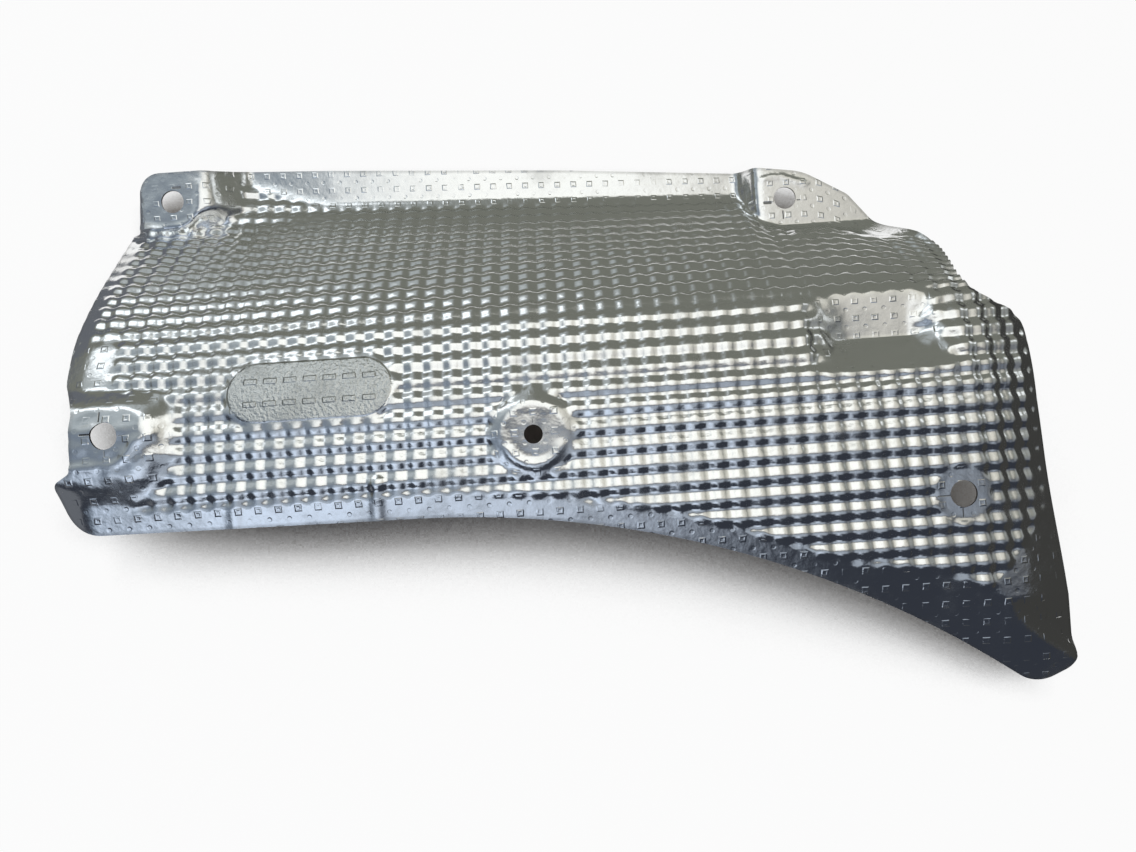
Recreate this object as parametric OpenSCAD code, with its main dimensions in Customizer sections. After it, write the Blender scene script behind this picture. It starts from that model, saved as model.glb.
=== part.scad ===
// Pressed and embossed aluminium heat shield for an engine bay.
// Drawn in the press frame: x along the emboss rows, z towards the outer face,
// then turned as one body into the attitude in which it rests on a level floor.

/* [Sheet] */
// Thickness of the sheet
sheet_t = 1; // [0.8:0.1:1.6]
// Distance between two raised bumps, measured along the metal
pitch = 7; // [7:0.25:9]
// Height of a bump above the middle of the sheet, and depth of a dimple below it
bump_h = 0.9; // [0.4:0.1:1.2]
// Place of one bump: across, and along the metal
emboss_at = [2.3, 0.8];

/* [Section] */
// Fall of the panel where the crown begins
panel_fall = 28; // [20:1:34]
// Fall of the wall at its left end
wall_fall = 49; // [44:1:54]
// Extra fall of the wall at the right end of the ledge
wall_twist = 6; // [4:0.5:8]
// Extra fall of the wall under the corner tab
tab_fall = 5; // [3:0.5:7]
// Distance along the metal from the panel datum to the start of the crown
crown_start = 40; // [36:1:44]
// Distance along the metal from the panel datum to the ledge fold
fold_run = 133; // [129:1:137]
// How much nearer the fold comes to the crown at the right end of the ledge
fold_slant = 1; // [0:0.5:3]
// How much nearer again it comes at the corner tab
fold_step = 15; // [12:1:17]
// How far the fold closes on the crown where the wall runs out to the right
fold_close = 44; // [36:1:48]

/* [Outline] */
// Left edge at the pads
left_x = -172.5; // [-174:0.5:-171]
// How much further out the left edge of the panel and of the lower lobe lies
left_out = 6; // [4.5:0.5:8.5]
// Right edge at its upper corner
right_x = 168; // [165:0.5:170]
// Right edge above the lower tip
tip_x = 174; // [172:0.5:177]
// Straight part of the lower edge
lower_y = -29; // [-31:0.2:-28]
// Where the lower edge leaves its straight part
sweep_x = -59; // [-66:1:-52]
// Radius of the swept lower edge
sweep_r = 360; // [350:5:380]
// Upper edge at its left end
upper_y = 117.8; // [116:0.2:120]
// Upper edge at the right end of the ledge
ledge_end_y = 106.2; // [105:0.2:107.6]

/* [Flange and border] */
// Width of the flattened lower flange
flange_w = 10; // [8:0.5:12]
// Fall of the lower flange against the panel
flange_fall = 13; // [6:1:20]
// Fall of the right border at its edge
border_fall = 30; // [22:1:34]
// Fall of the left border
left_fall = 18; // [8:1:24]

/* [Pads and holes] */
// Diameter of the four fixing holes
fixing_d = 9.4; // [8.4:0.1:10]
// Diameter of the locating hole
locating_d = 6.6; // [5.6:0.1:7.4]
// Upper left fixing hole, in from the left edge and down from the upper edge
upper_left_in = [13.7, 13.3];
// Lower left fixing hole, in from the left edge and up from the lower edge
lower_left_in = [13.1, 36.1];
// Fixing hole in the corner tab, across and down from the upper edge
corner_tab_in = [99.3, 14.6];
// Fixing hole at the lower right
lower_right = [136, -32.6];
// Locating hole in the panel
locating = [-12.2, -2];
// Level of the upper left pad
upper_left_z = -62; // [-66:1:-58]
// Level of the lower left pad
lower_left_z = 5; // [2:0.5:7]
// Level of the corner tab
corner_tab_z = -72; // [-75:1:-69]
// Level of the lower right pad
lower_right_z = 0.5; // [-1:0.5:2]
// Level of the locating pad
locating_z = 1.5; // [0.5:0.5:3]

/* [Plate and pocket] */
// Middle of the flat marking plate
plate_at = [-90, 18.7];
// Length of the marking plate
plate_l = 60; // [50:1:66]
// Height of the marking plate
plate_w = 23; // [18:1:26]
// Left and right ends of the pocket pressed into the crown
pocket_x = [102, 125];
// Where the lower face of the pocket leaves the panel
pocket_y = 12; // [9:1:14]
// Level of the shelf inside the pocket
shelf_z = -14.5; // [-16:0.5:-11]

/* [Attitude] */
// Turn about x into the rest attitude
rest_x = 19.3; // [17:0.1:21]
// Turn about y into the rest attitude
rest_y = -3.1; // [-5:0.1:-1]
// Shift that sets the middle of the footprint at the origin and the lowest point on the floor
rest_shift = [0.3, -22.6, 45.04];

/* [Hidden] */
half = pitch / 2;
left_out_x = left_x - left_out;
upper_left = [left_x + upper_left_in.x, upper_y - upper_left_in.y];
lower_left = [left_x + lower_left_in.x, lower_y + lower_left_in.y];
corner_tab = [corner_tab_in.x, ledge_end_y - corner_tab_in.y];
block = fold_run + 10;
metal = [0.80, 0.81, 0.80];

function clamp01(v) = max(0, min(1, v));
function ramp(a, b, v) = clamp01((v - a) / (b - a));
function ease(a, b, v) = let (t = ramp(a, b, v)) t * t * (3 - 2 * t);
function mix(a, b, t) = a + (b - a) * t;

// Outline seen along the press direction

// An arc of radius r in the corner p between its neighbours a and b.
function corner(a, p, b, r) =
    let (
        u = (a - p) / norm(a - p),
        v = (b - p) / norm(b - p),
        h = acos(u * v) / 2,
        c = p + (u + v) / norm(u + v) * r / sin(h),
        s = p + u * r / tan(h) - c,
        e = p + v * r / tan(h) - c,
        from = atan2(s.y, s.x),
        turn = (atan2(e.y, e.x) - from + 540) % 360 - 180,
        n = max(2, ceil(abs(turn) / 15))
    )
    [for (i = [0:n]) c + r * [cos(from + turn * i / n), sin(from + turn * i / n)]];

function sweep_y(x) =
    let (d = max(0, min(x, 150) - sweep_x))
    lower_y - (sweep_r - sqrt(sweep_r * sweep_r - d * d));

sweep_end = 148;
sweep_slope = tan(asin((sweep_end - sweep_x) / sweep_r));
tip_in_x = tip_x - 13.8;
tip_y = sweep_y(sweep_end) - (tip_in_x - sweep_end) * sweep_slope;

// Corners as x, y and radius, clockwise from the upper left pad.
corners = [
    [left_x + 0.4, upper_y - 0.9, 9],
    [-142, upper_y - 0.8, 12],
    [-132, upper_y + 2, 9],
    [3, mix(upper_y, ledge_end_y, 0.5) + 0.2, 500],
    [79, ledge_end_y, 3],
    [87, ledge_end_y - 0.6, 3],
    [107.3, ledge_end_y - 3.5, 24],
    [126.2, ledge_end_y - 14.6, 8],
    [149.8, 62.8, 9],
    [147.3, 42, 11],
    [right_x, 29.2, 10],
    [right_x + 0.2, 0, 90],
    [mix(right_x, tip_x, 0.9), -70, 60],
    [tip_x + 2.2, tip_y + 15.4, 3],
    [tip_x, tip_y + 6.8, 8],
    [tip_in_x, tip_y, 12]
];
lower_corners = [
    [left_x - 4.4, lower_y + 1.4, 13],
    [left_out_x + 0.2, -8.7, 4],
    [left_x + 0.7, -4.9, 2],
    [left_x + 1.3, 17.5, 8],
    [left_out_x, 24.5, 8],
    [left_out_x - 1.5, 91.9, 3],
    [left_x - 1.1, 92.6, 2]
];
sweep = [for (i = [0:24]) let (x = mix(sweep_end, sweep_x, i / 24)) [x, sweep_y(x)]];

function flat2(p) = [p.x, p.y];
function rounded(list, first, last) =
    [for (i = [0:len(list) - 1])
        let (
            a = i == 0 ? first : flat2(list[i - 1]),
            b = i == len(list) - 1 ? last : flat2(list[i + 1])
        )
        each corner(a, flat2(list[i]), b, list[i].z)];

outline = concat(
    rounded(corners, flat2(lower_corners[6]), sweep[0]),
    sweep,
    rounded(lower_corners, sweep[24], flat2(corners[0]))
);

// Lowest and highest y of the outline near one x.
function near_y(x, w) =
    [for (i = [0:len(outline) - 1])
        let (a = outline[i], b = outline[(i + 1) % len(outline)])
        each concat(
            abs(a.x - x) <= w ? [a.y] : [],
            [for (q = [x - w, x, x + w])
                if ((a.x - q) * (b.x - q) < 0) a.y + (b.y - a.y) * (q - a.x) / (b.x - a.x)]
        )];

// Section: fall of the metal at a run s up from the panel datum

function fold_at(u) = fold_run - fold_slant * ramp(-95, 79, u) - fold_step * ease(79, 90, u);
function closing(u) = fold_close * ease(106, 166, u);

function fall(u, s) =
    let (
        wall = wall_fall + wall_twist * ramp(-95, 80, u) + tab_fall * ease(79, 90, u),
        soft = 3.5 + 14 * ease(-90, -140, u),
        up = 0.1 * ramp(-30, 0, s) + 0.6 * ramp(2, 24, s) + 0.3 * ramp(24, crown_start, s),
        crown = 0.62 * ramp(crown_start, crown_start + 12, s)
              + 0.38 * ramp(crown_start + 12, crown_start + 45, s),
        all = panel_fall * up + (wall - panel_fall) * crown
    )
    all * (1 - ramp(-1, 1, (s - fold_at(u) + closing(u)) / soft));

step = 2.5;
run_min = -step * ceil((4 - tip_y) / step);
run_max = step * ceil((upper_y + 0.45 * fold_run) / step);
beyond = 2 * tip_x;

// y and z against the run, as two tables for one column.
function section(u) =
    let (
        f = [for (s = [run_min:step:run_max]) fall(u, s + step / 2)],
        k0 = round(-run_min / step),
        y = [for (i = 0, v = 0; i < len(f); v = v + step * cos(f[i]), i = i + 1) v],
        z = [for (i = 0, v = 0; i < len(f); v = v - step * sin(f[i]), i = i + 1) v]
    )
    [[for (i = [0:len(f) - 1]) [run_min + i * step, y[i] - y[k0] - 2]],
     [for (i = [0:len(f) - 1]) [run_min + i * step, z[i] - z[k0]]]];

// A border that bends down by angle a over the run w from s0: across, down, angle.
function border(u, s0, w, a) =
    let (r = w / (a * PI / 180), t = ramp(s0, s0 + w, u) * a, k = max(0, u - s0 - w))
    u <= s0 ? [u, 0, 0] : [s0 + r * sin(t) + k * cos(t), -r * (1 - cos(t)) - k * sin(t), t];

function across(u, part) =
    u > 0 ? border(u, 138, 30, border_fall * max(part, 0.01))
          : let (b = border(-u, -left_x - 5.5, 6, left_fall)) [-b.x, b.y, -b.z];

// Distance above the crease where the right border ends at the lower tip.
function over_crease(u, y) = (y + 73.3 + 0.6 * (u - 144.7)) * 0.857;

// How much of the right border's fall is left at one place.
function border_part(u, y) =
    (1 - 0.4 * ease(-20, -75, y)) * ease(-3, 5, over_crease(u, y));

// Local forms

// 1 inside a rounded box, easing to 0 over w outside it.
function box_mask(p, lo, hi, r, w) =
    let (
        dx = max(lo.x - p.x, p.x - hi.x, 0),
        dy = max(lo.y - p.y, p.y - hi.y, 0)
    )
    1 - ease(r, r + w, norm([dx, dy]));

function upper_left_pad(p) =
    box_mask([p.x - 0.7 * max(0, p.x - upper_left.x - 9), p.y],
        [-beyond, upper_left.y - 1], [upper_left.x + 1, beyond], 9, 5);
function lower_left_pad(p) =
    box_mask(p, [-beyond, lower_left.y - 7], [lower_left.x + 6, lower_left.y + 5], 4, 8);
function tab_pad(p) = box_mask(p, corner_tab - [0, 2], [corner_tab.x + 34, beyond], 9, 7);
function right_pad(p) = box_mask(p, lower_right, lower_right, 7, 4);
function locating_pad(p) = box_mask(p, locating, locating, 10.5, 6);
function plate_mask(p) =
    let (d = (plate_l - plate_w) / 2)
    box_mask(p, plate_at - [d, 0], plate_at + [d, 0], plate_w / 2 - 1, 2.5);
function pocket_mask(p) =
    ease(pocket_x[0] - 12, pocket_x[0], p.x) * (1 - ease(pocket_x[1], pocket_x[1] + 17, p.x));

// Distance below the upper boundary of the flattened flange and lower tip.
function flange_in(p) =
    sweep_y(p.x) + flange_w + 15 * ease(85, 143, p.x) - p.y;
function tip_in(p) = min(-66.7 + 1.2 * (p.x - 142.7) - p.y, 2 * (p.x - 141));

function pocket_z(p, z) =
    let (face = max(shelf_z, -1.5 - 1.05 * max(0, p.y - pocket_y)))
    p.y > 44 || p.y < pocket_y - 1 ? z : mix(z, min(z, face), pocket_mask(p));

// One lattice point: column position u, run s, side +1 or -1, height b of the emboss.
function lattice(u, s, tab_y, tab_z, side, b) =
    let (
        run = s - closing(u) * ramp(46, fold_at(u), s),
        f = fall(u, run),
        y = lookup(run, tab_y),
        c = across(u, border_part(u, y)),
        p = [c.x, y],
        in_flange = max(0, flange_in(p)),
        z0 = lookup(run, tab_z) + c.y - tan(flange_fall) * in_flange,
        z1 = pocket_z(p, z0) + 0.6 * plate_mask(p),
        m = [upper_left_pad(p), lower_left_pad(p), tab_pad(p), right_pad(p), locating_pad(p)],
        z2 = mix(z1, locating_z, m[4]),
        z3 = mix(z2, lower_right_z, m[3]),
        z4 = mix(z3, corner_tab_z, m[2]),
        z5 = mix(z4, lower_left_z, m[1]),
        z6 = mix(z5, upper_left_z + c.y, m[0]),
        pad = max(m),
        n0 = [sin(c.z) * cos(f), cos(c.z) * sin(f), cos(c.z) * cos(f)],
        n1 = mix(n0, [0, 0, 1], pad),
        n = n1 / norm(n1),
        left_band = (1 - ease(left_x - 0.5, left_x + 5.5, p.x)) * (1 - ease(44, 52, p.y)),
        pocket_flat = p.y > pocket_y - 2 && p.y < 44 ? pocket_mask(p) : 0,
        flat = max(
            ramp(-0.5, 2.5, in_flange), ramp(-1, 3, tip_in(p)), pad, plate_mask(p),
            pocket_flat, left_band, ramp(-3, 0, s - fold_at(u))
        )
    )
    [p.x, p.y, z6] + n * (side * sheet_t / 2 + b * (1 - flat));

// Lattice: dimples on a square grid one pitch wide, a bump in the middle of each cell

u_min = min([for (p = outline) p.x]);
u_max = max([for (p = outline) p.x]);
first_col = floor((u_min - 2 - emboss_at.x + half) / pitch);
last_col = first_col + len([for (c = [first_col + 1:first_col + 90]) if (across(across_at(c - 1), 1).x < u_max + 1) c]);

function across_at(c) = c * pitch + emboss_at.x - half;
function run_at(r) = r * pitch + emboss_at.y - half;
function squeezed(u, s) = s - closing(u) * ramp(46, fold_at(u), s);

cols = [first_col:last_col];

// First and last row that each grid column needs to cover the outline.
ends = [for (c = cols)
    let (
        u = across_at(c),
        sec = section(u),
        ys = near_y(max(u_min, min(u_max, across(u, 1).x)), pitch),
        lo = min(ys) - 1,
        hi = max(ys) + 1,
        rows = [for (r = [ceil(run_min / pitch) + 1:floor(run_max / pitch) - 1])
            [r, lookup(squeezed(u, run_at(r)), sec[0])]]
    )
    [max([for (q = rows) if (q[1] < lo) q[0]]), min([for (q = rows) if (q[1] > hi) q[0]])]];

// Every grid column: its first row, and for each row the point above and the point below.
// A column ends no more than three rows away from its neighbour, so no facet spans a fold.
grid = [for (i = [0:len(ends) - 1])
    let (
        u = across_at(first_col + i),
        sec = section(u),
        r0 = min([for (j = [0:len(ends) - 1]) ends[j][0] + 3 * abs(i - j)]),
        r1 = max([for (j = [0:len(ends) - 1]) ends[j][1] - 3 * abs(i - j)])
    )
    [r0, [for (r = [r0:r1])
        [for (side = [1, -1]) lattice(u, run_at(r), sec[0], sec[1], side, -bump_h)]]]];

count = [for (g = grid) len(g[1])];
start = [for (i = 0, v = 0; i < len(count); v = v + count[i], i = i + 1) v];
grid_n = start[len(start) - 1] + count[len(count) - 1];
last = len(grid) - 1;

// Every cell with four corners: column, row, and its middle point above and below.
cells = [for (i = [0:last - 1])
    let (
        u = across_at(first_col + i + 0.5),
        sec = section(u),
        r0 = max(grid[i][0], grid[i + 1][0]),
        r1 = min(grid[i][0] + count[i], grid[i + 1][0] + count[i + 1]) - 2
    )
    each [for (r = [r0:r1])
        let (
            a = start[i] + r - grid[i][0],
            b = start[i + 1] + r - grid[i + 1][0],
            mid = [for (side = [1, -1]) lattice(u, run_at(r + 0.5), sec[0], sec[1], side, bump_h)],
            ring = grid[i][1],
            next = grid[i + 1][1],
            k = r - grid[i][0],
            m = r - grid[i + 1][0],
            sag = norm(mid[0] - (ring[k][0] + ring[k + 1][0] + next[m][0] + next[m + 1][0]) / 4)
        )
        [[a, b, b + 1, a + 1], mid, sag > 0.06]]];

peaks = [for (q = cells) if (q[2]) q[1]];
peak_no = [for (i = 0, v = 0; i < len(cells); v = v + (cells[i][2] ? 1 : 0), i = i + 1) v];
total = grid_n + len(peaks);

cell_faces = [for (i = [0:len(cells) - 1])
    let (q = cells[i][0], p = grid_n + peak_no[i])
    each cells[i][2]
        ? [[q[0], p, q[1]], [q[1], p, q[2]], [q[2], p, q[3]], [q[3], p, q[0]]]
        : [[q[0], q[2], q[1]], [q[0], q[3], q[2]]]];

// Single facets where one column reaches past its neighbour.
fan_faces = [for (i = [0:last - 1])
    let (
        a0 = grid[i][0],
        b0 = grid[i + 1][0],
        a1 = a0 + count[i] - 1,
        b1 = b0 + count[i + 1] - 1,
        a = start[i],
        b = start[i + 1]
    )
    each concat(
        a0 < b0 ? [for (r = [a0:b0 - 1]) [a + r - a0, a + r + 1 - a0, b]] : [],
        b0 < a0 ? [for (r = [b0:a0 - 1]) [b + r - b0, a, b + r + 1 - b0]] : [],
        a1 > b1 ? [for (r = [b1:a1 - 1]) [a + r - a0, a + r + 1 - a0, b + b1 - b0]] : [],
        b1 > a1 ? [for (r = [a1:b1 - 1]) [b + r - b0, a + a1 - a0, b + r + 1 - b0]] : []
    )];

upper_faces = concat(cell_faces, fan_faces);

rim = concat(
    [for (i = [0:last]) start[i]],
    [for (j = [1:count[last] - 1]) start[last] + j],
    [for (i = [last - 1:-1:0]) start[i] + count[i] - 1],
    [for (j = [count[0] - 2:-1:1]) start[0] + j]
);

module sheet() {
    polyhedron(
        points = concat(
            [for (g = grid) each [for (p = g[1]) p[0]]],
            [for (p = peaks) p[0]],
            [for (g = grid) each [for (p = g[1]) p[1]]],
            [for (p = peaks) p[1]]
        ),
        faces = concat(
            upper_faces,
            [for (f = upper_faces) [f[0] + total, f[2] + total, f[1] + total]],
            [for (i = [0:len(rim) - 1])
                let (a = rim[i], b = rim[(i + 1) % len(rim)])
                each [[a, b, b + total], [a, b + total, a + total]]]
        )
    );
}

module heat_shield() {
    color(metal)
    translate(rest_shift)
    rotate([rest_x, rest_y, 0])
    difference() {
        intersection() {
            sheet();
            translate([0, 0, -block]) linear_extrude(2 * block) polygon(outline);
        }
        for (at = [upper_left, lower_left, corner_tab, lower_right])
            translate([at.x, at.y, -block]) cylinder(d = fixing_d, h = 2 * block, $fn = 96);
        translate([locating.x, locating.y, -block]) cylinder(d = locating_d, h = 2 * block, $fn = 96);
    }
}

heat_shield();
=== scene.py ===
import math
import bpy
import numpy as np
from mathutils import Matrix, Vector


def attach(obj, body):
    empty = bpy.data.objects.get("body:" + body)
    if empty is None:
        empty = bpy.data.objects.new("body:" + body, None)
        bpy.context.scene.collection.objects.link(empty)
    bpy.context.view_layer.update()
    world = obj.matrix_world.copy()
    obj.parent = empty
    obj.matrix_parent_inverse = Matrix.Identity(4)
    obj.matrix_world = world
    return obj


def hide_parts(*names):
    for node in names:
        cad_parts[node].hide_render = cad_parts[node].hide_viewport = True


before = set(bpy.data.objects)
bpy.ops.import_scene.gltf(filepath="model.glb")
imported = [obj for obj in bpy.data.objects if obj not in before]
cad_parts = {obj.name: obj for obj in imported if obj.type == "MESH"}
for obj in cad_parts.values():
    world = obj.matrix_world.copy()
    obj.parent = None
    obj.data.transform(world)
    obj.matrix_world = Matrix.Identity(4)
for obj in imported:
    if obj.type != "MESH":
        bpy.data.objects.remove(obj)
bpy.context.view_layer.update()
print("stage: packed model loaded")

# How the pressed sheet lies on the floor, in degrees and millimetres
rest = {"turnX": 19.3, "turnY": -3.1, "shift": (0.3, -22.6, 45.04)}

turnX, turnY = math.radians(rest["turnX"]), math.radians(rest["turnY"])
pressTurn = np.array(Matrix.Rotation(turnY, 3, "Y") @ Matrix.Rotation(turnX, 3, "X"))


def toWorld(points):  # press frame in mm to the part's frame in metres
    return (points @ pressTurn.T + np.array(rest["shift"])) * 0.001


def clearSelection():
    if bpy.context.object and bpy.context.object.mode != "OBJECT":
        bpy.ops.object.mode_set(mode="OBJECT")
    bpy.ops.object.select_all(action="DESELECT")


# The sheet's form as pressed, in millimetres and degrees. u is the run across it, s the run up it
sheet = {
    "thickness": 1.0, "pitch": 7.0, "bumpHeight": 1.16, "bumpAt": (2.3, 0.8),
    "across": (-187.0, 197.5), "along": (-117.0, 163.0), "perPitch": 6,
    "panelFall": 28, "wallFall": 49, "wallTwist": 6, "tabFall": 5, "crownStart": 40,
    "foldRun": 133, "foldSlant": 1, "foldStep": 15, "foldSoft": 3.5, "foldSoftLeft": 14,
    "foldClose": 44, "closeAbove": 46, "edgeInset": 0.12, "edgeReach": 20,
}
spans = {  # where along u one form gives way to the next
    "twist": (-95, 80), "slant": (-95, 79), "tab": (79, 90), "close": (106, 166), "softLeft": (-90, -140),
}
falls = {  # how the fall builds up along s: share, from, to
    "panel": ((0.1, -30, 0), (0.6, 2, 24), (0.3, 24, sheet["crownStart"])),
    "crown": ((0.62, sheet["crownStart"], sheet["crownStart"] + 12),
              (0.38, sheet["crownStart"] + 12, sheet["crownStart"] + 45)),
}
flange = {
    "width": 10, "fall": 13, "widening": 15, "widens": (85, 143),
    "borderFall": 30, "borderAt": 138, "borderRoll": 30, "leftFall": 18, "leftAt": 167, "leftRoll": 6,
}
crease = {  # where the right border's fall fades out above the lower tip
    "at": (144.7, -73.3), "slant": 0.6, "square": 0.857, "fades": (-3, 5), "easing": 0.4, "eases": (-20, -75),
}
sweep = {"from": -59, "to": 150, "level": -29, "radius": 360}  # the lower edge's long arc
holes = {
    "upperLeft": (-158.8, 104.5, -62, 4.7), "lowerLeft": (-159.4, 7.1, 5, 4.7),
    "cornerTab": (99.3, 91.6, -72, 4.7), "lowerRight": (136, -32.6, 0.5, 4.7),
    "locating": (-12.2, -2, 1.5, 3.3),
}
plate = {"at": (-90, 18.7), "length": 60, "width": 23, "height": 0.6, "inset": 1, "soft": 2.5}
pocket = {
    "from": 102, "to": 125, "in": (-19, 3), "out": 17, "lower": 12, "upper": 44,
    "shelf": -14.5, "top": -1.5, "fall": 1.05, "creased": ((14, 20), (36, 44)),
}
beyond = 400  # past every edge
pads = {  # how far each reaches left, down, right and up of its hole, its corner and its soft edge
    "locating": ((0, 0, 0, 0), 10.5, 6),
    "lowerRight": ((0, 0, 0, 0), 7, 4),
    "cornerTab": ((0, 2, 34, beyond), 9, 7),
    "lowerLeft": ((beyond, 7, 6, 5), 4, 8),
    "upperLeft": ((beyond, 1, 1, beyond), 9, 5),
}
drawn = {  # how a pad's soft edge is drawn out, or its level sinks: share, from how far past the hole
    "lowerLeftRight": (0.4, 8), "lowerLeftBelow": (0.45, 9), "upperLeftRight": (0.7, 9),
    "lowerLeftSink": (0.35, 2),
}
tabSofter = {"by": 10, "along": (112, 135)}  # the corner tab's soft edge widens to the right
wrinkles = {"length": 9, "pocket": 0.7, "lowerLeft": 0.25, "upperLeft": 0.1, "locating": 0.08}
beads = {  # small ridges and creases seen from above: points, half width, height
    "crossLeft": ([(-118.1, -17.4), (-118.8, -31)], 2.2, 0.45),
    "crossRight": ([(-67.9, -16), (-68.7, -30)], 2.1, 0.8),
    "overTabHole": ([(90.2, 100), (94.5, 101), (98.9, 100.7), (108.6, 97)], 1.0, 0.5),
    "locatingRim": ([(-21.6, -6.6), (-19.4, -9.8), (-16, -12), (-12.2, -12.8), (-8.6, -12), (-5.2, -10),
                     (-3, -6.6)], 1.3, 0.6),
    "lowerLeftCrease": ([(-172, -3.6), (-157.8, -3.3), (-153.6, -1.5), (-150.6, 1.8), (-148.6, 5),
                         (-143.4, 7.4)], 1.2, 0.6),
    "upperLeftRim": ([(-174, 94.3), (-158.7, 93), (-152.4, 94.8), (-149, 98.5), (-148, 103),
                      (-147.5, 111)], 1.4, 0.6),
    "flangeDent": ([(3.5, -25), (8, -27)], 1.5, -0.5),
}
flats = {  # where the metal was left or beaten flat
    "leftBand": (-164, -157), "leftEdge": (-176, -169), "leftEdgeShare": 0.85, "leftSplit": (38, 48),
    "rightAt": 168, "rightBand": (-3.2, -1.4), "rightSlant": 0.05, "rightTop": (26, 34),
    "lobeCorner": (-158, -8), "lobeRound": 2, "lobeSoft": 8,
    "tipAt": (142.7, -66.7), "tipSlant": 1.2, "tipFrom": 141, "tipSteep": 2, "tipSoft": (-1, 3),
    "pocketSide": (0.1, 0.5), "pocketLower": (-2, 2), "pocketUpper": (40, 46),
    "flangeSoft": (-0.5, 2.5), "padSoft": (0, 0.3),
    "ledgeSoft": (-3, 0), "ledgeStep": 13, "ledgeSteps": (-145, -92),
}
emboss = {"columns": 0.42, "rows": 0.58, "rounded": 0.4, "top": 0.36, "bottom": -0.9}


def ramp(a, b, v):
    return np.clip((v - a) / (b - a), 0, 1)


def ease(a, b, v):
    t = ramp(a, b, v)
    return t * t * (3 - 2 * t)


def mix(a, b, t):
    return a + (b - a) * t


def foldAt(u):
    slant = sheet["foldSlant"] * ramp(*spans["slant"], u)
    return sheet["foldRun"] - slant - sheet["foldStep"] * ease(*spans["tab"], u)


def closing(u):
    return sheet["foldClose"] * ease(*spans["close"], u)


def fallAt(u, s):  # how steeply the metal falls at a run s up from the panel datum, in degrees
    wall = sheet["wallFall"] + sheet["wallTwist"] * ramp(*spans["twist"], u)
    wall = wall + sheet["tabFall"] * ease(*spans["tab"], u)
    soft = sheet["foldSoft"] + sheet["foldSoftLeft"] * ease(*spans["softLeft"], u)
    panel, crown = (sum(share * ramp(a, b, s) for share, a, b in falls[part]) for part in ("panel", "crown"))
    every = sheet["panelFall"] * panel + (wall - sheet["panelFall"]) * crown
    return every * (1 - ramp(-1, 1, (s - foldAt(u) + closing(u)) / soft))


def border(u, start, width, angle):  # across and down where an edge bends down
    r = width / np.radians(angle)
    t = ramp(start, start + width, u) * np.radians(angle)
    k = np.maximum(0, u - start - width)
    x = np.where(u <= start, u, start + r * np.sin(t) + k * np.cos(t))
    return x, -r * (1 - np.cos(t)) - k * np.sin(t)


def across(u, y):  # x and the drop of the bent borders
    over = (y - crease["at"][1] + crease["slant"] * (u - crease["at"][0])) * crease["square"]
    part = (1 - crease["easing"] * ease(*crease["eases"], y)) * ease(*crease["fades"], over)
    fall = flange["borderFall"] * np.maximum(part, 0.01)
    xr, zr = border(u, flange["borderAt"], flange["borderRoll"], fall)
    xl, zl = border(-u, flange["leftAt"], flange["leftRoll"], flange["leftFall"])
    return np.where(u > 0, xr, -xl), np.where(u > 0, zr, zl)


def sweepY(x):
    d = np.maximum(0, np.minimum(x, sweep["to"]) - sweep["from"])
    return sweep["level"] - (sweep["radius"] - np.sqrt(sweep["radius"] ** 2 - d * d))


def boxMask(x, y, lo, hi, r, w):
    dx = np.maximum(np.maximum(lo[0] - x, x - hi[0]), 0)
    dy = np.maximum(np.maximum(lo[1] - y, y - hi[1]), 0)
    return 1 - ease(r, r + w, np.hypot(dx, dy))


def stretched(v, start, draw, way=1):  # past its start, v grows more slowly, so a soft edge is drawn out
    share, gap = drawn[draw]
    return v - way * share * np.maximum(0, way * (v - start) - gap)


def padMasks(x, y):
    masks = {}
    for name, ((left, down, right, up), radius, soft) in pads.items():
        hx, hy = holes[name][:2]
        sx, sy = x, y
        if name == "lowerLeft":
            sx, sy = stretched(x, hx, "lowerLeftRight"), stretched(y, hy, "lowerLeftBelow", -1)
        if name == "upperLeft":
            sx = stretched(x, hx, "upperLeftRight")
        if name == "cornerTab":
            soft = soft + tabSofter["by"] * ease(*tabSofter["along"], x)
        masks[name] = boxMask(sx, sy, (hx - left, hy - down), (hx + right, hy + up), radius, soft)
    return masks


def lineGap(x, y, points):  # distance from a bent line
    best = np.full(np.shape(x), 1e9)
    for (x0, y0), (x1, y1) in zip(points, points[1:]):
        dx, dy = x1 - x0, y1 - y0
        t = np.clip(((x - x0) * dx + (y - y0) * dy) / (dx * dx + dy * dy), 0, 1)
        best = np.minimum(best, np.hypot(x - x0 - t * dx, y - y0 - t * dy))
    return best


def crinkle(x, y, length):  # a soft random wrinkling, about -1 to 1
    total = 0
    waves = ((1, 0.35, 0), (-0.45, 1, 1.7), (0.8, -0.9, 4.1), (0.3, 1.3, 2.6))
    for a, b, c in waves:
        bend = 1.2 * np.sin((b * x - a * y) / length * 4)
        total = total + np.sin(2 * math.pi * (a * x + b * y) / length + c + bend)
    return total / len(waves)


def plateMask(x, y):
    d = (plate["length"] - plate["width"]) / 2
    cx, cy = plate["at"]
    return boxMask(x, y, (cx - d, cy), (cx + d, cy), plate["width"] / 2 - plate["inset"], plate["soft"])


def pocketMask(x):
    start, stop = pocket["from"], pocket["to"]
    return ease(start + pocket["in"][0], start + pocket["in"][1], x) * (1 - ease(stop, stop + pocket["out"], x))


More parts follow.
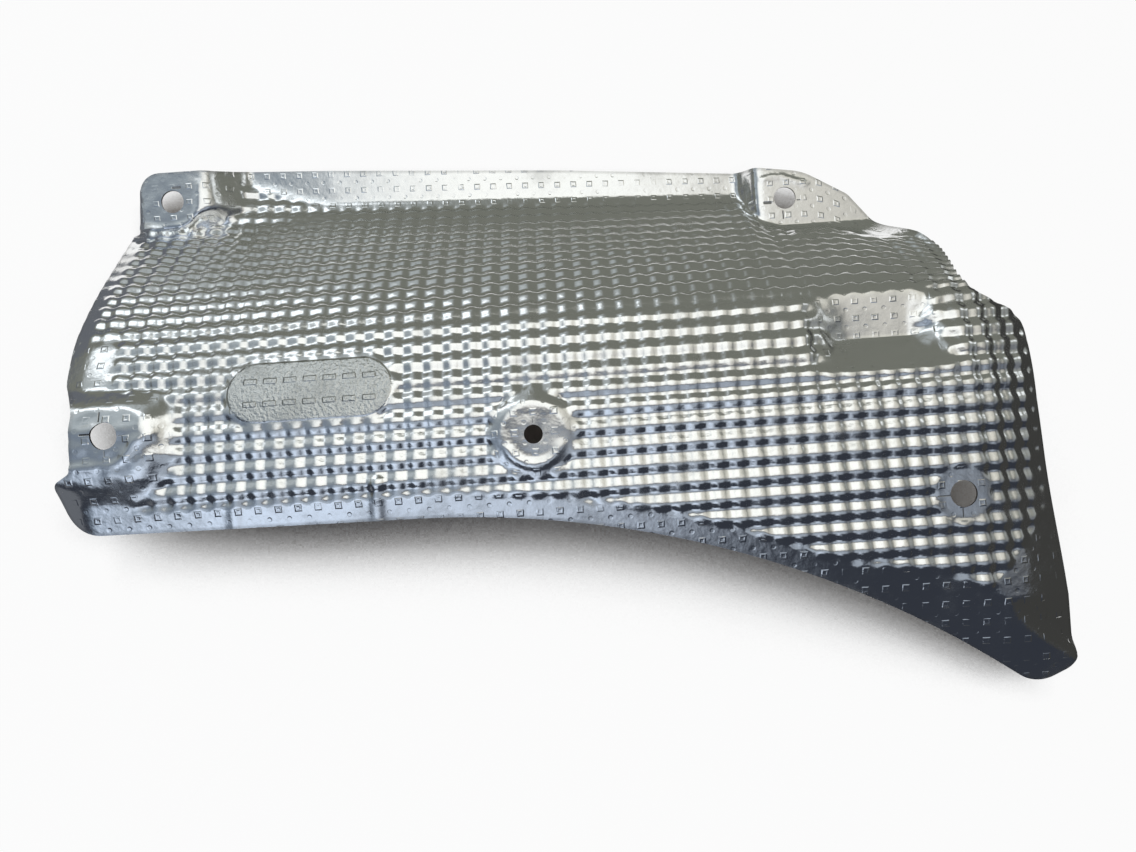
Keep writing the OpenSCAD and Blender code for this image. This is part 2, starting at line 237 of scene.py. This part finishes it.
def sectionTables(u):  # y and z against the run, one row for each column u
    step, datum = 0.5, -2
    runs = np.arange(-130, 172.1, step)
    fall = np.radians(fallAt(u[:, None], runs[None, :] + step / 2))
    zero = int(np.argmin(abs(runs)))
    y, z = (np.concatenate([np.zeros((len(u), 1)), np.cumsum(way, 1) * step], 1)[:, :-1]
            for way in (np.cos(fall), -np.sin(fall)))
    return runs, y - y[:, zero:zero + 1] + datum, z - z[:, zero:zero + 1]


def flatMetal(x, y, uu, ss, inFlange, pad):  # 1 where the metal is flattened, 0 where it is embossed
    f = flats
    above = ease(*f["leftSplit"], y)
    leftBand = (1 - ease(*f["leftBand"], x)) * (1 - above)
    leftBand = leftBand + (1 - ease(*f["leftEdge"], x)) * above * f["leftEdgeShare"]
    inPocket = ramp(*f["pocketSide"], pocketMask(x))
    inPocket = inPocket * ramp(*(pocket["lower"] + v for v in f["pocketLower"]), y)
    inPocket = inPocket * (1 - ramp(*f["pocketUpper"], y))
    rightBand = ramp(*f["rightBand"], x - f["rightAt"] + f["rightSlant"] * np.minimum(0, y))
    rightBand = rightBand * (1 - ramp(*f["rightTop"], y))
    lobe = boxMask(x, y, (-beyond, -beyond), f["lobeCorner"], f["lobeRound"], f["lobeSoft"])
    overTip = f["tipAt"][1] + f["tipSlant"] * (x - f["tipAt"][0]) - y
    tip = ramp(*f["tipSoft"], np.minimum(overTip, f["tipSteep"] * (x - f["tipFrom"])))
    ledge = ramp(*f["ledgeSoft"], ss - foldAt(uu) - f["ledgeStep"] * (1 - ease(*f["ledgeSteps"], uu)))
    return np.maximum.reduce([
        ramp(*f["flangeSoft"], inFlange), tip, ramp(*f["padSoft"], pad), plateMask(x, y),
        inPocket, leftBand, rightBand, lobe, ledge,
    ])


def pressed(u, s):  # u and s are 1-D; gives points, normals and the mask of flattened metal on the grid
    runs, tabY, tabZ = sectionTables(u)
    uu, ss = np.meshgrid(u, s)
    run = ss - closing(uu) * ramp(sheet["closeAbove"], foldAt(uu), ss)
    y, z = (np.stack([np.interp(run[:, i], runs, table[i]) for i in range(len(u))], 1)
            for table in (tabY, tabZ))
    x, drop = across(uu, y)
    upTo = sweepY(x) + flange["width"] + flange["widening"] * ease(*flange["widens"], x)
    inFlange = np.maximum(0, upTo - y)
    z = z + drop - math.tan(math.radians(flange["fall"])) * inFlange
    face = np.maximum(pocket["shelf"], pocket["top"] - pocket["fall"] * np.maximum(0, y - pocket["lower"]))
    outside = (y > pocket["upper"]) | (y < pocket["lower"] - 1)
    z = np.where(outside, z, mix(z, np.minimum(z, face), pocketMask(x)))
    z = z + plate["height"] * plateMask(x, y)
    masks = padMasks(x, y)
    for name, mask in masks.items():
        level = holes[name][2] + (drop if name == "upperLeft" else 0)
        if name == "lowerLeft":  # this pad runs down into the band above it
            share, gap = drawn["lowerLeftSink"]
            level = level - share * np.maximum(0, y - holes[name][1] - gap)
        z = mix(z, level, mask)
    pad = np.maximum.reduce(list(masks.values()))
    for line, half, high in beads.values():
        z = z + high * np.exp(-(lineGap(x, y, line) / half) ** 2)
    low, high = pocket["creased"]
    slope = pocketMask(x) * (1 - pocketMask(x)) * 4 * ramp(*low, y) * (1 - ramp(*high, y))
    rough = wrinkles["pocket"] * slope
    for name in ("lowerLeft", "upperLeft", "locating"):
        rough = rough + wrinkles[name] * masks[name]
    z = z + rough * crinkle(x, y, wrinkles["length"])
    points = np.stack([x, y, z], -1)
    du = np.gradient(points, u, axis=1)
    ds = np.gradient(points, s, axis=0)
    normal = np.cross(du, ds)
    normal /= np.linalg.norm(normal, axis=-1, keepdims=True)
    return points, normal, flatMetal(x, y, uu, ss, inFlange, pad), uu, ss


def embossed(u, s):  # the drawn bumps, -1 to 1
    k = 2 * math.pi / sheet["pitch"]
    columns, rows = np.cos(k * (u - sheet["bumpAt"][0])), np.cos(k * (s - sheet["bumpAt"][1]))
    shape = emboss["columns"] * columns + emboss["rows"] * rows
    start, top = emboss["rounded"], emboss["top"]
    dome = start + top * np.tanh((shape - start) / top)
    return np.where(shape > start, dome, np.maximum(shape, emboss["bottom"]))


clearSelection()
cell = sheet["pitch"] / sheet["perPitch"]
nu = round((sheet["across"][1] - sheet["across"][0]) / cell)
ns = round((sheet["along"][1] - sheet["along"][0]) / cell)
bpy.ops.mesh.primitive_grid_add(x_subdivisions=nu, y_subdivisions=ns, size=1, location=(0, 0, 0))
shield = bpy.context.object
shield.name = "embossed_shield"
mesh = shield.data
u = np.linspace(sheet["across"][0], sheet["across"][1], nu + 1)
s = np.linspace(sheet["along"][0], sheet["along"][1], ns + 1)
points, normal, flat, uu, ss = pressed(u, s)
bump = sheet["bumpHeight"] * embossed(uu, ss) * (1 - flat)
points = points + normal * bump[..., None]
mesh.vertices.foreach_set("co", toWorld(points.reshape(-1, 3)).ravel())
print("stage: blank pressed,", len(mesh.vertices), "points")


# The outline, seen along the press direction
def corner(a, p, b, r):  # the rounded corner at p, from a towards b
    arcStep = math.radians(6)
    a, p, b = Vector(a), Vector(p), Vector(b)
    va, vb = (a - p).normalized(), (b - p).normalized()
    half = va.angle(vb) / 2
    centre = p + (va + vb).normalized() * (r / math.sin(half))
    start = p + va * (r / math.tan(half)) - centre
    end = p + vb * (r / math.tan(half)) - centre
    first = math.atan2(start.y, start.x)
    turn = (math.atan2(end.y, end.x) - first + 3 * math.pi) % (2 * math.pi) - math.pi
    n = max(3, math.ceil(abs(turn) / arcStep))
    return [(centre.x + r * math.cos(first + turn * i / n), centre.y + r * math.sin(first + turn * i / n))
            for i in range(n + 1)]


def outlinePoints():  # each corner has its place and its radius
    endX, tipX = 148, 160.2
    slope = math.tan(math.asin((endX - sweep["from"]) / sweep["radius"]))
    tipY = float(sweepY(endX)) - (tipX - endX) * slope
    upper = [
        (-172.1, 116.9, 9), (-142, 117, 12), (-132, 119.8, 9), (3, 112.2, 500), (79, 106.2, 3), (87, 105.6, 3),
        (107.3, 102.7, 24), (126.2, 91.6, 8), (149.8, 62.8, 9), (147.3, 42, 11), (168, 29.2, 10),
        (168.2, 0, 90), (173.4, -70, 60), (176.2, tipY + 15.4, 3), (174, tipY + 6.8, 8), (tipX, tipY, 12),
    ]
    lower = [
        (-176.9, -27.6, 13), (-178.3, -8.7, 4), (-171.8, -4.9, 2), (-171.2, 17.5, 8), (-178.5, 24.5, 8),
        (-180, 91.9, 3), (-173.6, 92.6, 2),
    ]
    swept = [(x, float(sweepY(x))) for x in np.linspace(endX, sweep["from"], 40)]
    found = []
    for part, before, after in ((upper, lower[-1], swept[0]), (lower, swept[-1], upper[0])):
        ring = [before[:2]] + [point[:2] for point in part] + [after[:2]]
        for i, (x, y, r) in enumerate(part):
            found += corner(ring[i], (x, y), ring[i + 2], r)
        if part is upper:
            found += swept
    return np.array(found)


outline = outlinePoints()
area = 0.5 * np.sum(outline[:, 0] * np.roll(outline[:, 1], -1) - np.roll(outline[:, 0], -1) * outline[:, 1])
print("stage: outline", len(outline), "points, area", round(abs(area)))


def insetLoop(loop, distance):  # the same outline, drawn in all round
    edge = np.roll(loop, -1, 0) - loop
    edge /= np.linalg.norm(edge, axis=1, keepdims=True) + 1e-12
    side = np.stack([edge[:, 1], -edge[:, 0]], 1) * (-1 if area > 0 else 1)
    both = side + np.roll(side, 1, 0)
    both /= np.linalg.norm(both, axis=1, keepdims=True)
    return loop + both * distance


outline = insetLoop(outline, sheet["edgeInset"])


# The blank is trimmed roughly first, point by point
def insideLoop(px, py, loop):  # which points lie inside a closed outline
    hit = np.zeros(px.shape, bool)
    for (x0, y0), (x1, y1) in zip(loop, np.roll(loop, -1, 0)):
        if y0 == y1:
            continue
        cross = (y0 > py) != (y1 > py)
        hit ^= cross & (px < (x1 - x0) * (py - y0) / (y1 - y0) + x0)
    return hit


def nearLoop(px, py, loop):  # distance from a closed outline
    best = np.full(px.shape, 1e9)
    for (x0, y0), (x1, y1) in zip(loop, np.roll(loop, -1, 0)):
        dx, dy = x1 - x0, y1 - y0
        length = dx * dx + dy * dy
        if length < 1e-9:
            continue
        t = np.clip(((px - x0) * dx + (py - y0) * dy) / length, 0, 1)
        best = np.minimum(best, (px - x0 - t * dx) ** 2 + (py - y0 - t * dy) ** 2)
    return np.sqrt(best)


trimMargin = 2.5
px, py = points[..., 0].ravel(), points[..., 1].ravel()
edgeNear = nearLoop(px, py, outline)
away = ~(insideLoop(px, py, outline) | (edgeNear < trimMargin))


def selectPoints(obj, chosen):
    bpy.ops.object.mode_set(mode="EDIT")
    bpy.ops.mesh.select_mode(type="VERT")
    bpy.ops.mesh.select_all(action="DESELECT")
    bpy.ops.object.mode_set(mode="OBJECT")
    obj.data.vertices.foreach_set("select", np.asarray(chosen, dtype=bool))
    bpy.ops.object.mode_set(mode="EDIT")


# Maps on the sheet: the place along the metal, the place seen from above, and how flat and near an edge it is
maps = {
    "metal": (uu.ravel(), ss.ravel()), "plan": (px, py),
    "state": (flat.ravel(), np.clip(edgeNear / sheet["edgeReach"], 0, 1)),
}
for name, (a, b) in maps.items():
    layer = mesh.uv_layers.new(name=name)
    corners = np.empty(len(mesh.loops), dtype=np.int32)
    mesh.loops.foreach_get("vertex_index", corners)
    layer.data.foreach_set("uv", np.stack([a[corners], b[corners]], 1).ravel())
mesh.uv_layers.remove(mesh.uv_layers[0])
selectPoints(shield, away)
bpy.ops.mesh.delete(type="VERT")
bpy.ops.object.mode_set(mode="OBJECT")
print("stage: blank trimmed,", len(mesh.polygons), "faces")

thicken = shield.modifiers.new("thickness", "SOLIDIFY")
thicken.thickness = sheet["thickness"] * 0.001
thicken.offset = 0
thicken.use_even_offset = True
bpy.ops.object.modifier_apply(modifier="thickness")
print("stage: sheet given its thickness,", len(mesh.polygons), "faces")


cutters = {"under": -140.0, "tall": 0.2, "holeSides": 72, "holeDepth": 0.04}  # under in mm, the rest in m


def cutBy(tool, operation):
    clearSelection()
    bpy.context.view_layer.objects.active = shield
    cut = shield.modifiers.new("cut", "BOOLEAN")
    cut.object, cut.operation, cut.solver = tool, operation, "MANIFOLD"
    cut.material_mode = "TRANSFER"
    bpy.ops.object.modifier_apply(modifier="cut")
    bpy.data.objects.remove(tool)


def prism(loop, name):  # a tall block with this outline, standing along the press direction
    clearSelection()
    bpy.ops.mesh.primitive_circle_add(vertices=len(loop), radius=1, fill_type="NGON")
    tool = bpy.context.object
    tool.name = name
    flatLoop = np.concatenate([loop, np.full((len(loop), 1), cutters["under"])], 1)
    tool.data.vertices.foreach_set("co", toWorld(flatLoop).ravel())
    up = Vector(pressTurn @ np.array([0, 0, cutters["tall"]]))
    bpy.ops.object.mode_set(mode="EDIT")
    bpy.ops.mesh.select_all(action="SELECT")
    bpy.ops.mesh.extrude_region_move(TRANSFORM_OT_translate={"value": up})
    bpy.ops.mesh.select_all(action="SELECT")
    bpy.ops.mesh.normals_make_consistent(inside=False)
    bpy.ops.object.mode_set(mode="OBJECT")
    return tool


class Value:  # a node's output, so that shader maths reads as plain sums
    def __init__(self, finish, socket):
        self.finish, self.socket = finish, socket

    def math(self, operation, *others):
        return self.finish.node("ShaderNodeMath", {"operation": operation}, self, *others)

    def behind(self, operation, other):
        return self.finish.node("ShaderNodeMath", {"operation": operation}, other, self)

    def __add__(self, other):
        return self.math("ADD", other)

    def __radd__(self, other):
        return self.behind("ADD", other)

    def __sub__(self, other):
        return self.math("SUBTRACT", other)

    def __rsub__(self, other):
        return self.behind("SUBTRACT", other)

    def __mul__(self, other):
        return self.math("MULTIPLY", other)

    def __rmul__(self, other):
        return self.behind("MULTIPLY", other)

    def __truediv__(self, other):
        return self.math("DIVIDE", other)

    def between(self, low, high):  # 0 at low, 1 at high, eased
        eased = {"interpolation_type": "SMOOTHSTEP"}
        return self.finish.node("ShaderNodeMapRange", eased, self, low, high, 0.0, 1.0)

    def out(self, name):
        return Value(self.finish, self.socket.node.outputs[name])


class Finish:
    def __init__(self, name, owner=None):  # a material of its own, or a light's or the world's nodes
        self.material = owner or bpy.data.materials.new(name)
        self.material.use_nodes = True
        self.tree = self.material.node_tree
        self.tree.nodes.clear()

    def node(self, kind, settings=None, *values, **named):
        made = self.tree.nodes.new(kind)
        for key, value in (settings or {}).items():
            setattr(made, key, value)
        self.fill(made, enumerate(values))
        self.fill(made, ((key.replace("_", " "), value) for key, value in named.items()))
        return Value(self, made.outputs[0]) if made.outputs else made

    def fill(self, made, pairs):
        for key, value in pairs:
            if isinstance(value, Value):
                self.tree.links.new(value.socket, made.inputs[key])
            elif value is not None:
                made.inputs[key].default_value = value

    def mixColour(self, factor, first, second):  # the Mix node's colour sockets are known by number
        made = self.node("ShaderNodeMix", {"data_type": "RGBA"}).socket.node
        self.fill(made, ((0, factor), (6, first), (7, second)))
        return Value(self, made.outputs[2])

    def millimetres(self):
        place = self.node("ShaderNodeTexCoord").out("Object")
        return self.node("ShaderNodeVectorMath", {"operation": "SCALE"}, place, Scale=1000.0)

    def map(self, name):
        both = self.node("ShaderNodeSeparateXYZ", None, self.node("ShaderNodeUVMap", {"uv_map": name}))
        return both.out("X"), both.out("Y")

    def metal(self, colour, rough, height):  # height in mm
        bumped = self.node("ShaderNodeBump", None, Strength=1.0, Distance=0.001, Height=height)
        return self.done(self.node("ShaderNodeBsdfPrincipled", None, Base_Color=colour, Metallic=1.0,
                                   Roughness=rough, Normal=bumped))

    def done(self, shader):
        self.node("ShaderNodeOutputMaterial", None, shader)
        return self.material


slits = {  # seen from above: centre, half length across, half length up, half width, how dark the painted shade in it is
    "lowerLeftTop": (-161.3, 13.6, 0, 1.5, 0.26, 0.8), "lowerLeftLeft": (-165.6, 7.9, 1.8, 0, 0.34, 0.85),
    "lowerLeftRight": (-153.2, 7.0, 1.0, 0, 0.16, 0.35), "lowerLeftBelow": (-159.3, 1.0, 0, 1.0, 0.16, 0.35),
    "tabLeft": (91.9, 90.0, 1.3, 0, 0.55, 0.7), "tabBelow": (98.2, 84.4, 0, 1.6, 0.22, 0.8),
    "tabRight": (105.2, 90.4, 0.6, 0, 0.22, 0.6), "lowerRightLeft": (129.2, -33.0, 2.3, 0, 0.18, 0.6),
    "lowerRightBelow": (135.3, -39.2, 0, 1.4, 0.2, 0.7), "upperLeftTear": (-156.8, 110.3, 1.6, 0.3, 0.25, 0.6),
    "locatingTop": (-12.2, 2.6, 0, 0.6, 0.15, 0.4), "locatingRight": (-7.4, -2.0, 0.6, 0, 0.15, 0.4),
}
aluminium = {
    "colour": (0.90, 0.905, 0.90, 1), "dull": (0.62, 0.61, 0.58, 1), "speck": (0.16, 0.14, 0.12, 1),
    # edge is painted shade along the outline, slit is painted shade in the slits and tears
    "edge": (0.20, 0.19, 0.18, 1), "badge": (0.50, 0.51, 0.47, 1), "slit": (0.02, 0.02, 0.025, 1),
    "roughness": 0.13,
}
shares = {  # how strongly each mark colours the metal, roughens it and raises it in mm
    "colour": {"smudge": 0.25, "film": 0.12, "speck": 0.5, "edge": 0.25, "badge": 0.45},
    "rough": {"smudge": 0.16, "film": 0.05, "edge": 0.1, "badge": 0.2, "slit": 0.4},
    "height": {"top": 0.13, "dish": 0.05, "dot": 0.06, "grain": 0.010, "dents": 0.12,
               "hammered": 0.5, "bars": 0.28, "slit": 0.15},
}
noises = {  # scale per mm, detail, roughness
    "wobble": (0.35, 2.0, None), "worn": (0.12, 1.0, None), "grain": (2.2, 3.0, 0.6),
    "dents": (0.28, 2.0, None), "hammered": (0.9, 2.0, None), "smudge": (0.045, 5.0, 0.62),
    "film": (0.5, 4.0, 0.7),
}
spread = {  # where each mark starts and ends: noise levels, or mm
    "worn": (0.30, 0.62), "smudge": (0.46, 0.72), "film": (0.45, 0.75), "pit": (0.04, 0.10),
    "flat": (0.55, 0.95), "edge": (0.4, 1.6), "top": (0.85, 1.35), "dish": (0.3, 0.8), "dot": (0.15, 0.9),
}
strayed = (0.8, 0.5)  # how far the marks stray from the bump lines, in mm
unworn = 0.25  # what is left of the marks where they are worn
slitSoft = (0.5, 1.3)
bars = {"at": 1.0, "row": 4, "long": (2.0, 2.5), "wide": (0.7, 1.1), "reach": 20, "ends": (6.0, 6.6)}
badgeRim = (-1.6, -0.8)
pitScale = 0.22


def faceMetal():
    f = Finish("embossed_aluminium")
    mm = f.millimetres()
    u, s = f.map("metal")
    px, py = f.map("plan")
    flat, inward = f.map("state")
    inward = inward * sheet["edgeReach"]
    noise = {name: f.node("ShaderNodeTexNoise", None, mm, Scale=scale, Detail=detail, Roughness=rough)
             for name, (scale, detail, rough) in noises.items()}

    def gap(cx, cy, across, up):  # distance in mm from a short straight line
        dx = ((px - cx).math("ABSOLUTE") - across).math("MAXIMUM", 0.0)
        dy = ((py - cy).math("ABSOLUTE") - up).math("MAXIMUM", 0.0)
        return (dx * dx + dy * dy).math("SQRT")

    def local(v, at):  # distance in mm from the nearest bump line
        pitch = sheet["pitch"]
        return (((v - at) / pitch + 0.5).math("FRACT") - 0.5) * pitch

    # The slits and tears by the holes: a shallow rough groove, and their dark colour is painted shade
    slit = None
    for cx, cy, long, up, half, dark in slits.values():
        mark = (1 - gap(cx, cy, long, up).between(half * slitSoft[0], half * slitSoft[1])) * dark
        slit = slit.math("MAXIMUM", mark) if slit else mark
    (cx, cy), halfWidth = plate["at"], plate["width"] / 2
    rim = gap(cx, cy, (plate["length"] - plate["width"]) / 2, 0.0)
    badge = 1 - rim.between(halfWidth + badgeRim[0], halfWidth + badgeRim[1])

    wobble, (bumpU, bumpS), halfPitch = noise["wobble"], sheet["bumpAt"], sheet["pitch"] / 2
    x = local(u, bumpU) + (wobble - 0.5) * strayed[0]
    y = local(s, bumpS) + (wobble.out("Color") - 0.5) * strayed[1]
    square = x.math("ABSOLUTE").math("MAXIMUM", y.math("ABSOLUTE"))
    top, dish = 1 - square.between(*spread["top"]), 1 - square.between(*spread["dish"])
    x, y = local(u, bumpU + halfPitch), local(s, bumpS + halfPitch)
    dot = 1 - (x * x + y * y).between(*spread["dot"])
    worn = noise["worn"].between(*spread["worn"])
    height = shares["height"]
    marks = top * height["top"] - dish * height["dish"] - dot * height["dot"]
    marks = marks * flat.between(*spread["flat"]) * (unworn + worn * (1 - unworn)) * (1 - badge)
    row = ((py - cy).math("ABSOLUTE") - bars["row"]).math("ABSOLUTE")
    bar = 1 - local(px, bars["at"]).math("ABSOLUTE").between(*bars["long"])
    bar = bar * (1 - row.between(*bars["wide"])) * (1 - gap(cx, cy, bars["reach"], 0.0).between(*bars["ends"]))
    plateMarks = badge * (noise["hammered"] * height["hammered"] + bar * height["bars"])
    raised = marks + noise["grain"] * height["grain"] + noise["dents"] * height["dents"]
    raised = raised + plateMarks - slit * height["slit"]

    smudge, film = noise["smudge"].between(*spread["smudge"]), noise["film"].between(*spread["film"])
    pits = f.node("ShaderNodeTexVoronoi", None, mm, Scale=pitScale)
    speck = (1 - pits.out("Distance").between(*spread["pit"])) * smudge
    # Painted shade along the outline: the metal darkens within 1.6 mm of the edge, and also roughens there
    edge = 1 - inward.between(*spread["edge"])
    share = shares["colour"]
    dull = smudge * share["smudge"] + film * share["film"]
    colour = f.mixColour(dull, aluminium["colour"], aluminium["dull"])
    for name, mask in (("speck", speck), ("edge", edge), ("badge", badge)):
        colour = f.mixColour(mask * share[name], colour, aluminium[name])
    # painted shade in the slits
    colour = f.mixColour(slit, colour, aluminium["slit"])
    rough = aluminium["roughness"]
    for name, mask in (("smudge", smudge), ("film", film), ("edge", edge), ("badge", badge), ("slit", slit)):
        rough = rough + mask * shares["rough"][name]
    return f.metal(colour, rough, raised)


# The sheared edge: its dark colour is painted shade, varied by a random burr
cutEdge = {
    "dark": (0.16, 0.15, 0.14, 1), "bright": (0.42, 0.41, 0.40, 1), "burrScale": 1.5, "burrHeight": 0.06,
    "roughness": 0.35, "burrRough": 0.2,
}


def cutMetal():
    f = Finish("cut_edge")
    burr = f.node("ShaderNodeTexNoise", None, f.millimetres(), Scale=cutEdge["burrScale"], Detail=3.0)
    # painted shade: the cut faces take a dark colour
    colour = f.mixColour(burr, cutEdge["dark"], cutEdge["bright"])
    return f.metal(colour, cutEdge["roughness"] + burr * cutEdge["burrRough"], burr * cutEdge["burrHeight"])


faceFinish, cutFinish = faceMetal(), cutMetal()
mesh.materials.append(faceFinish)
blank = prism(outline, "outline_cutter")
blank.data.materials.append(cutFinish)
cutBy(blank, "INTERSECT")
print("stage: outline cut,", len(mesh.polygons), "faces")
for name, (hx, hy, hz, hr) in holes.items():
    clearSelection()
    bpy.ops.mesh.primitive_cylinder_add(
        vertices=cutters["holeSides"], radius=hr * 0.001, depth=cutters["holeDepth"])
    punch = bpy.context.object
    co = np.array([v.co for v in punch.data.vertices]) * 1000 + np.array([hx, hy, hz])
    punch.data.vertices.foreach_set("co", toWorld(co).ravel())
    punch.data.materials.append(cutFinish)
    cutBy(punch, "DIFFERENCE")

# The cuts leave slivers along their edges, which are dissolved
sliver, smoothUnder = 0.000004, 50
clearSelection()
shield.select_set(True)
bpy.context.view_layer.objects.active = shield
bpy.ops.object.mode_set(mode="EDIT")
bpy.ops.mesh.select_all(action="SELECT")
bpy.ops.mesh.quads_convert_to_tris(quad_method="BEAUTY", ngon_method="BEAUTY")
bpy.ops.mesh.dissolve_degenerate(threshold=sliver)
bpy.ops.object.mode_set(mode="OBJECT")
bpy.ops.object.shade_smooth_by_angle(angle=math.radians(smoothUnder))
print("stage: holes punched,", len(mesh.polygons), "faces")
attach(shield, "root")
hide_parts("heat_shield")

# The studio: a pale floor with a painted shadow under and round the shield, warm softboxes overhead with cooler
# ones round them, and four low cards
studio = {
    "floor": 12, "floorDrop": 0.0002, "floorColour": (0.86, 0.86, 0.86, 1), "floorGlow": 0.95,
    # the floor's painted shadow: its darker colour, how far ambient occlusion looks, and from which occlusion
    # it starts
    "floorPaintedShadow": (0.30, 0.26, 0.23, 1), "shadeReach": 0.12, "shadeFrom": (0.55, 0.69), "shadeSamples": 8,
    "softboxes": {  # centre, size and soft margin in metres, turn in degrees, radiance, colour; all face down
        "overhead": ((-0.05, 0.022), (0.54, 0.34), (0.16, 0.05), 0, 0.46, (0.88, 0.94, 1.0)),
        "overheadWide": ((0.08, 0.012), (0.80, 0.37), (0.26, 0.05), 0, 0.56, (1.0, 0.965, 0.88)),
        "nearEdge": ((0.00, -0.31), (1.10, 0.32), (0.40, 0.09), 0, 0.40, (0.76, 0.86, 1.0)),
        "left": ((-0.50, -0.22), (0.80, 1.05), (0.26, 0.20), 0, 0.21, (0.62, 0.78, 1.0)),
        "frontLeft": ((-0.28, -0.56), (0.84, 0.46), (0.30, 0.12), 0, 0.74, (0.74, 0.84, 1.0)),
        "farLeft": ((-0.48, 0.41), (0.78, 0.27), (0.12, 0.08), -27, 1.0, (0.90, 0.95, 1.0)),
        "farLeftWide": ((-0.52, 0.52), (1.10, 0.95), (0.28, 0.20), 0, 0.27, (0.78, 0.88, 1.0)),
        "right": ((0.66, -0.06), (0.50, 0.74), (0.16, 0.16), 0, 0.16, (0.88, 0.93, 1.0)),
        "farRight": ((0.72, 0.31), (0.46, 0.24), (0.10, 0.06), 8, 0.9, (0.92, 0.96, 1.0)),
    },
    "softboxHeight": 0.45, "softboxStep": 0.004,  # at one height their light doesn't add up
    "behind": (0.175, 0.182, 0.158, 1), "front": (0.032, 0.037, 0.050, 1), "airSpan": (-0.45, 0.30),
    "cards": {  # stand on edge round the shield, seen only in its reflections: from, to, height, colour
        "back": ((-0.7, 0.17), (0.7, 0.17), 0.07, (0.175, 0.182, 0.158, 1)),
        "right": ((0.22, -0.17), (0.22, 0.17), 0.08, (0.046, 0.046, 0.044, 1)),
        "left": ((-0.22, -0.17), (-0.22, 0.17), 0.05, (0.13, 0.14, 0.16, 1)),
        "front": ((-0.7, -0.18), (0.7, -0.18), 0.04, (0.055, 0.06, 0.07, 1)),
    },
}


def softbox(name, level, at, size, margin, turn, radiance, colour):
    clearSelection()
    bpy.ops.object.light_add(type="AREA", location=(at[0], at[1], level))
    light = bpy.context.object
    light.name = name + "_softbox"
    light.rotation_euler = (0, 0, math.radians(turn))
    light.data.shape = "RECTANGLE"
    light.data.size, light.data.size_y = size
    light.data.energy = radiance * math.pi * size[0] * size[1]
    light.data.color = colour
    light.visible_camera = False
    f = Finish(name, light.data)  # it fades out towards its edges
    spot = f.node("ShaderNodeSeparateXYZ", None, f.node("ShaderNodeNewGeometry").out("Parametric"))
    fade = 1.0
    for axis, length, soft in zip("XY", size, margin):
        way = spot.out(axis)
        fade = (way * length).between(0, soft) * ((1 - way) * length).between(0, soft) * fade
    f.node("ShaderNodeOutputLight", None, f.node("ShaderNodeEmission", None, (1, 1, 1, 1), fade))


for order, (name, settings) in enumerate(studio["softboxes"].items()):
    softbox(name, studio["softboxHeight"] + studio["softboxStep"] * order, *settings)

clearSelection()
bpy.ops.mesh.primitive_plane_add(size=studio["floor"], location=(0, 0, -studio["floorDrop"]))
floor = bpy.context.object
floor.name = "studio_floor"
f = Finish("pale_floor")
ray = f.node("ShaderNodeLightPath")
seen = ray.out("Is Camera Ray")
for kind in ("Is Glossy Ray", "Is Transmission Ray"):
    seen = seen.math("MAXIMUM", ray.out(kind))
# Painted shadow: where ambient occlusion finds the shield near, the floor turns darker and its glow dims
few = {"samples": studio["shadeSamples"]}
outsidePaintedShadow = f.node("ShaderNodeAmbientOcclusion", few, Distance=studio["shadeReach"]).out("AO")
outsidePaintedShadow = outsidePaintedShadow.between(*studio["shadeFrom"])
soft = f.node("ShaderNodeBsdfDiffuse", None, f.mixColour(outsidePaintedShadow, studio["floorPaintedShadow"], studio["floorColour"]))
glow = f.node("ShaderNodeEmission", None, (1, 1, 1, 1), 1.0)
shader = f.node("ShaderNodeMixShader", None, seen * outsidePaintedShadow * studio["floorGlow"], soft, glow)
below = f.node("ShaderNodeNewGeometry").out("Backfacing")  # from below the floor isn't there
shader = f.node("ShaderNodeMixShader", None, below, shader, f.node("ShaderNodeBsdfTransparent"))
floor.data.materials.append(f.done(shader))

for name, (start, stop, tall, colour) in studio["cards"].items():
    clearSelection()
    bpy.ops.mesh.primitive_plane_add(size=1)
    card = bpy.context.object
    card.name = "studio_card_" + name
    for point in card.data.vertices:
        along = point.co.x + 0.5
        point.co = (mix(start[0], stop[0], along), mix(start[1], stop[1], along), (point.co.y + 0.5) * tall)
    f = Finish("card_" + name)
    card.data.materials.append(f.done(f.node("ShaderNodeEmission", None, colour, 1.0)))
    card.visible_camera = False
    card.visible_diffuse = False
    card.visible_shadow = False

world = bpy.data.worlds.new("studio")
bpy.context.scene.world = world
f = Finish("studio_air", world)
way = f.node("ShaderNodeSeparateXYZ", None, f.node("ShaderNodeTexCoord").out("Generated"))
air = f.mixColour(way.out("Y").between(*studio["airSpan"]), studio["front"], studio["behind"])
f.node("ShaderNodeOutputWorld", None, f.node("ShaderNodeBackground", None, air, 1.0))

# The camera stands over the sheet on the press axis
view = {"lens": 28.236, "height": 311.0, "roll": 3.8, "sensor": 36, "clip": 0.01}
place = toWorld(np.array([[0, 0, view["height"]]]))[0]
roll = math.radians(view["roll"])
right = pressTurn @ np.array([math.cos(roll), -math.sin(roll), 0])
upward = pressTurn @ np.array([math.sin(roll), math.cos(roll), 0])
back = pressTurn @ np.array([0, 0, 1.0])
bpy.ops.object.camera_add(location=tuple(place))
camera = bpy.context.object
camera.matrix_world = Matrix([[right[i], upward[i], back[i], place[i]] for i in range(3)] + [[0, 0, 0, 1]])
camera.data.lens = view["lens"]
camera.data.sensor_width = view["sensor"]
camera.data.sensor_fit = "HORIZONTAL"
camera.data.clip_start = view["clip"]
bpy.context.scene.camera = camera
bpy.context.scene.view_settings.view_transform = "Standard"
print("stage: studio ready")
